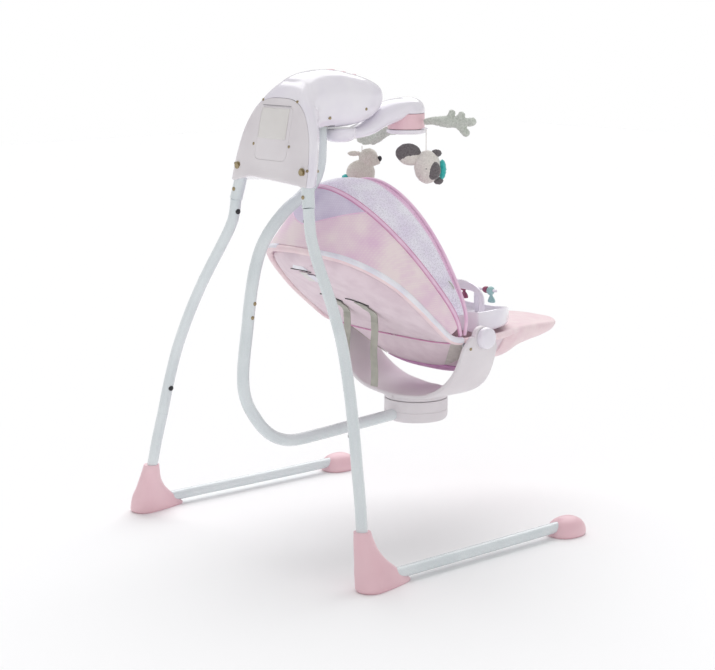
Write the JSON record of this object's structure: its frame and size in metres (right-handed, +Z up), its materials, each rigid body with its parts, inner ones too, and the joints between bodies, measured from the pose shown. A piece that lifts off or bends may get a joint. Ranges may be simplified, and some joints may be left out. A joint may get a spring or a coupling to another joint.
{
  "type": "baby swing",
  "caption": "Free-standing powered baby swing with a reclining seat hung from a curved arm, folding canopy, play tray and toy mobile.",
  "frame": {"origin": "centre of the footprint on the floor", "axes": "+Z up, +Y towards the foot end of the seat, +X to the right-hand leg seen from the drive housing's rear"},
  "size_m": [0.774, 0.8536, 0.9318],
  "materials": {
    "white_plastic": "glossy moulded ABS",
    "panel_plastic": "satin moulded ABS",
    "tube_enamel": "powder-coated steel",
    "pink_plastic": "satin moulded polypropylene",
    "dark_plastic": "moulded",
    "steel": "zinc plated",
    "copper_wire": "enamelled winding wire",
    "board_green": "printed circuit board",
    "seat_fabric": "woven polyester",
    "canopy_cloth": "translucent woven polyester",
    "canopy_mesh": "fine white mesh",
    "piping": "pink bias binding",
    "webbing": "woven webbing",
    "plush_grey": "short pile plush",
    "plush_beige": "short pile plush",
    "plush_dark": "short pile plush",
    "toy_maroon": "moulded",
    "toy_teal": "moulded"
  },
  "bodies": {
    "stand": {"housing_shell": "white_plastic", "rear_cover": "panel_plastic", "battery_door": "panel_plastic", "battery_box": "dark_plastic", "circuit_board": "board_green", "speaker": "dark_plastic", "dc_inlet": "dark_plastic", "drive_coil": "copper_wire", "rear_bearing_bracket": "steel", "front_bearing_bracket": "steel", "housing_bolt_left": "steel", "housing_bolt_right": "steel", "leg_stub_left": "tube_enamel", "leg_stub_right": "tube_enamel", "leg_tube_left": "tube_enamel", "leg_tube_right": "tube_enamel", "base_tube_left": "tube_enamel", "base_tube_right": "tube_enamel", "corner_foot_left": "pink_plastic", "corner_foot_right": "pink_plastic", "end_foot_left": "pink_plastic", "end_foot_right": "pink_plastic"},
    "swing_arm": {"swing_hub": "steel", "drive_magnet": "dark_plastic", "upper_arm_tube": "tube_enamel", "lower_arm_tube": "tube_enamel", "swivel_base": "panel_plastic"},
    "cradle": {"seat_yoke": "panel_plastic", "pivot_cap_left": "white_plastic", "pivot_cap_right": "white_plastic"},
    "seat": {"rim_frame": "steel", "seat_back": "seat_fabric", "seat_bottom": "seat_fabric", "footrest": "seat_fabric", "harness_buckle": "dark_plastic", "harness_strap_left": "webbing", "harness_strap_right": "webbing"},
    "canopy_rear": {"rear_bow": "piping", "canopy_rear_cloth": "canopy_cloth"},
    "canopy_front": {"front_bow": "piping", "canopy_band": "canopy_mesh"},
    "tray": {"tray_body": "white_plastic", "toy_bar": "white_plastic"},
    "bird_left": {"bird_toy_left": "toy_maroon"},
    "bird_right": {"bird_toy_right": "toy_teal"},
    "mobile": {"mobile_arm": "white_plastic", "mobile_band": "pink_plastic", "mobile_base": "white_plastic", "plush_branch_left": "plush_grey", "plush_branch_right": "plush_grey"},
    "deer": {"deer_toy": "plush_beige"},
    "whale": {"whale_toy": "plush_dark"},
    "power_button": {"power_button": "pink_plastic"},
    "speed_button": {"speed_button": "pink_plastic"},
    "music_button": {"music_button": "pink_plastic"},
    "upper_lock_button_left": {"upper_lock_button_left": "dark_plastic"},
    "lower_lock_button_left": {"lower_lock_button_left": "dark_plastic"},
    "upper_lock_button_right": {"upper_lock_button_right": "dark_plastic"},
    "lower_lock_button_right": {"lower_lock_button_right": "dark_plastic"}
  },
  "joints": [
    {"name": "swing", "type": "hinge", "parent": "stand", "child": "swing_arm", "pos_m": [0, -0.2092, 0.86], "axis": [0, 1, 0], "range_deg": [-12, 12]},
    {"name": "seat_swivel", "type": "hinge", "parent": "swing_arm", "child": "cradle", "pos_m": [0, 0.0518, 0.243], "axis": [0, 0, 1], "range_deg": [0, 90]},
    {"name": "seat_recline", "type": "hinge", "parent": "cradle", "child": "seat", "pos_m": [0, 0.0438, 0.39], "axis": [1, 0, 0], "range_deg": [0, 12]},
    {"name": "canopy_rear_hinge", "type": "hinge", "parent": "seat", "child": "canopy_rear", "pos_m": [0, 0.0058, 0.404], "axis": [1, 0, 0], "range_deg": [0, 14], "deforming": ["canopy_rear_cloth"]},
    {"name": "canopy_front_hinge", "type": "hinge", "parent": "canopy_rear", "child": "canopy_front", "pos_m": [0, 0.0058, 0.404], "axis": [1, 0, 0], "range_deg": [0, 16.1], "deforming": ["canopy_band"]},
    {"name": "tray_lift", "type": "slide", "parent": "seat", "child": "tray", "axis": [0, 0, 1], "range_m": [0, 0.05]},
    {"name": "mobile_swivel", "type": "hinge", "parent": "stand", "child": "mobile", "pos_m": [0, -0.1612, 0.803], "axis": [0, 0, 1], "range_deg": [-75, 75]},
    {"name": "bird_left_spin", "type": "hinge", "parent": "tray", "child": "bird_left", "pos_m": [-0.037, 0.2308, 0.454], "axis": [1, 0, 0], "continuous": true},
    {"name": "bird_right_spin", "type": "hinge", "parent": "tray", "child": "bird_right", "pos_m": [0.037, 0.2308, 0.454], "axis": [1, 0, 0], "continuous": true},
    {"name": "deer_swing", "type": "hinge", "parent": "mobile", "child": "deer", "pos_m": [-0.1043, -0.0082, 0.7655], "axis": [0.9659, 0.2588, 0], "range_deg": [-20, 20]},
    {"name": "whale_swing", "type": "hinge", "parent": "mobile", "child": "whale", "pos_m": [0.0464, 0.0322, 0.806], "axis": [0.9659, 0.2588, 0], "range_deg": [-20, 20]},
    {"name": "power_button_press", "type": "slide", "parent": "stand", "child": "power_button", "axis": [0, 0, -1], "range_m": [0, 0.0015], "stiffness_N_per_m": 400},
    {"name": "speed_button_press", "type": "slide", "parent": "stand", "child": "speed_button", "axis": [0, 0, -1], "range_m": [0, 0.0015], "stiffness_N_per_m": 400},
    {"name": "music_button_press", "type": "slide", "parent": "stand", "child": "music_button", "axis": [0, 0, -1], "range_m": [0, 0.0015], "stiffness_N_per_m": 400},
    {"name": "upper_lock_left_press", "type": "slide", "parent": "stand", "child": "upper_lock_button_left", "axis": [-1, 0, 0], "range_m": [0, 0.0025], "stiffness_N_per_m": 600},
    {"name": "lower_lock_left_press", "type": "slide", "parent": "stand", "child": "lower_lock_button_left", "axis": [-1, 0, 0], "range_m": [0, 0.0025], "stiffness_N_per_m": 600},
    {"name": "upper_lock_right_press", "type": "slide", "parent": "stand", "child": "upper_lock_button_right", "axis": [1, 0, 0], "range_m": [0, 0.0025], "stiffness_N_per_m": 600},
    {"name": "lower_lock_right_press", "type": "slide", "parent": "stand", "child": "lower_lock_button_right", "axis": [1, 0, 0], "range_m": [0, 0.0025], "stiffness_N_per_m": 600}
  ],
  "couplings": [
    {"joint": "canopy_front_hinge", "follows": "canopy_rear_hinge", "ratio": 1.1429}
  ]
}
